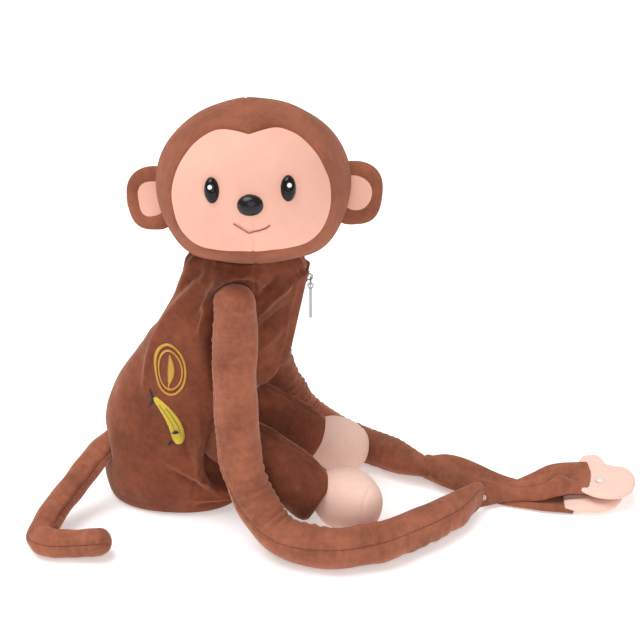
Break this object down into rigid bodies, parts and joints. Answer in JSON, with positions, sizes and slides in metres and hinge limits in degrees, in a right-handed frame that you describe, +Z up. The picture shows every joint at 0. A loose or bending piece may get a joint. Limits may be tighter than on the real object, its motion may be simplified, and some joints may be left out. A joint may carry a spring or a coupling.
{
  "type": "stuffed monkey",
  "caption": "Seated plush monkey with a zipped body bag, turning head, long arms that end in flat hands with snap fasteners, stubby legs and a long bent tail.",
  "frame": {"origin": "centre of the flat seat panel that the body rests on, at floor height", "axes": "+X the way the belly faces and the arms reach, +Y the monkey's left, +Z up"},
  "size_m": [0.5674, 0.2608, 0.4056],
  "materials": {
    "brown_velour": "short pile velour, soft sheen",
    "peach_velour": "short pile velour, matte",
    "polyester_stuffing": "loose fibre",
    "black_gloss_plastic": "polished",
    "washer_plastic": "moulded",
    "snap_plastic": "moulded",
    "zip_tape_cloth": "woven tape",
    "zip_coil_nylon": "moulded coil",
    "zip_metal": "die cast and plated",
    "gold_thread": "satin stitch embroidery",
    "yellow_thread": "satin stitch embroidery",
    "mouth_thread": "embroidery thread",
    "seam_thread": "sewing thread"
  },
  "bodies": {
    "bag": {"bag_base_panel": "brown_velour", "bag_back_panel": "brown_velour", "bag_front_right_panel": "brown_velour", "bag_front_left_panel": "brown_velour", "bag_filling": "polyester_stuffing", "zip_tape_right": "zip_tape_cloth", "zip_tape_left": "zip_tape_cloth", "zip_coil_right": "zip_coil_nylon", "zip_coil_left": "zip_coil_nylon", "zip_bottom_stop": "zip_metal", "badge_outer_ring": "gold_thread", "badge_inner_ring": "gold_thread", "badge_leaf": "gold_thread", "banana_patch": "yellow_thread"},
    "neck": {"neck_stitching": "seam_thread"},
    "head": {"head_right_panel": "brown_velour", "head_left_panel": "brown_velour", "face_patch": "peach_velour", "head_stuffing": "polyester_stuffing", "ear_right": "brown_velour", "ear_left": "brown_velour", "ear_right_lining": "peach_velour", "ear_left_lining": "peach_velour", "eye_right": "black_gloss_plastic", "eye_left": "black_gloss_plastic", "nose": "black_gloss_plastic", "eye_right_washer": "washer_plastic", "eye_left_washer": "washer_plastic", "nose_washer": "washer_plastic", "mouth_thread": "mouth_thread"},
    "right_arm": {"arm_right_sleeve": "brown_velour", "arm_right_stuffing": "polyester_stuffing"},
    "left_arm": {"arm_left_sleeve": "brown_velour", "arm_left_stuffing": "polyester_stuffing"},
    "right_arm_end": {"strap_right": "brown_velour", "hand_right": "peach_velour", "snap_cap_right_hand": "snap_plastic", "snap_socket_right_strap": "snap_plastic"},
    "left_arm_end": {"strap_left": "brown_velour", "hand_left": "peach_velour", "snap_stud_left_strap": "snap_plastic"},
    "right_leg": {"leg_right_sleeve": "brown_velour", "leg_right_stuffing": "polyester_stuffing", "foot_right": "peach_velour", "foot_right_stuffing": "polyester_stuffing"},
    "left_leg": {"leg_left_sleeve": "brown_velour", "leg_left_stuffing": "polyester_stuffing", "foot_left": "peach_velour", "foot_left_stuffing": "polyester_stuffing"},
    "tail_base": {"tail_upper_sleeve": "brown_velour", "tail_upper_stuffing": "polyester_stuffing"},
    "tail_tip": {"tail_lower_sleeve": "brown_velour", "tail_lower_stuffing": "polyester_stuffing"},
    "slider": {"zip_slider": "zip_metal"},
    "pull_ring": {"zip_pull_ring": "zip_metal"},
    "pull_bar": {"zip_pull_bar": "zip_metal"}
  },
  "joints": [
    {"name": "neck_turn", "type": "hinge", "parent": "bag", "child": "neck", "pos_m": [0.066, 0, 0.246], "axis": [0, 0, 1], "range_deg": [-5, 90]},
    {"name": "neck_nod", "type": "hinge", "parent": "neck", "child": "head", "pos_m": [0.066, 0, 0.25], "axis": [-0.9962, -0.0872, 0], "range_deg": [-10, 15]},
    {"name": "right_shoulder", "type": "hinge", "parent": "bag", "child": "right_arm", "pos_m": [0.062, -0.052, 0.226], "axis": [0, 0, 1], "range_deg": [-35, 0]},
    {"name": "left_shoulder", "type": "hinge", "parent": "bag", "child": "left_arm", "pos_m": [0.062, 0.052, 0.226], "axis": [0, 0, 1], "range_deg": [0, 35]},
    {"name": "right_wrist_fold", "type": "hinge", "parent": "right_arm", "child": "right_arm_end", "pos_m": [0.29, -0.02, 0.009], "axis": [0, 0, 1], "range_deg": [-40, 0]},
    {"name": "left_wrist_fold", "type": "hinge", "parent": "left_arm", "child": "left_arm_end", "pos_m": [0.222, 0.035, 0.003], "axis": [0, 0, 1], "range_deg": [0, 65]},
    {"name": "right_hip", "type": "hinge", "parent": "bag", "child": "right_leg", "pos_m": [0.056, -0.034, 0.086], "axis": [0, -1, 0], "range_deg": [0, 35]},
    {"name": "left_hip", "type": "hinge", "parent": "bag", "child": "left_leg", "pos_m": [0.054, 0.027, 0.086], "axis": [0, -1, 0], "range_deg": [0, 35]},
    {"name": "tail_swing", "type": "hinge", "parent": "bag", "child": "tail_base", "pos_m": [-0.07, -0.022, 0.05], "axis": [0, 0, 1], "range_deg": [-70, 0]},
    {"name": "tail_unbend", "type": "hinge", "parent": "tail_base", "child": "tail_tip", "pos_m": [-0.117, -0.126, 0.014], "axis": [0, 0, 1], "range_deg": [-100, 0]},
    {"name": "zip_slide", "type": "slide", "parent": "bag", "child": "slider", "axis": [-0.1918, 0, -0.9814], "range_m": [0, 0.072]},
    {"name": "ring_swing", "type": "hinge", "parent": "slider", "child": "pull_ring", "pos_m": [0.12287, 0, 0.23372], "axis": [0, -1, 0], "range_deg": [-5, 80]},
    {"name": "pull_swing", "type": "hinge", "parent": "pull_ring", "child": "pull_bar", "pos_m": [0.12287, 0, 0.22492], "axis": [0, -1, 0], "range_deg": [-5, 80]}
  ]
}
